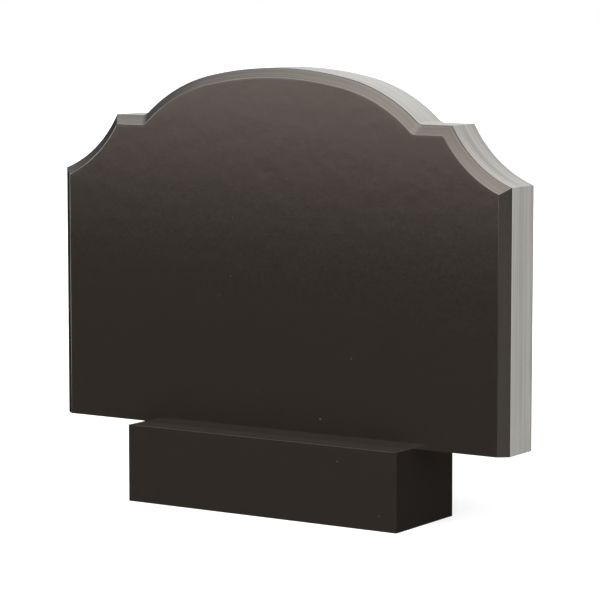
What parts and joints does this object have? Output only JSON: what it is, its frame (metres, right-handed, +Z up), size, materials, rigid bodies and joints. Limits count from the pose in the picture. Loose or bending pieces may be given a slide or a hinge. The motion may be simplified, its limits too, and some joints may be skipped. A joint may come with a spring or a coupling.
{
  "type": "headstone",
  "caption": "Upright headstone: a blank polished tablet with an arched top, flat shoulders, hollow coves and a front chamfer, standing on a low rectangular plinth.",
  "frame": {"origin": "centre of the plinth's underside, where the headstone stands on its base", "axes": "+X along the tablet's width, towards the right as seen from its front; the polished front faces -Y; +Z up"},
  "size_m": [1, 0.206, 0.8429],
  "materials": {
    "granite": "polished"
  },
  "bodies": {
    "root": {"tablet": "granite", "plinth": "granite"}
  },
  "joints": []
}
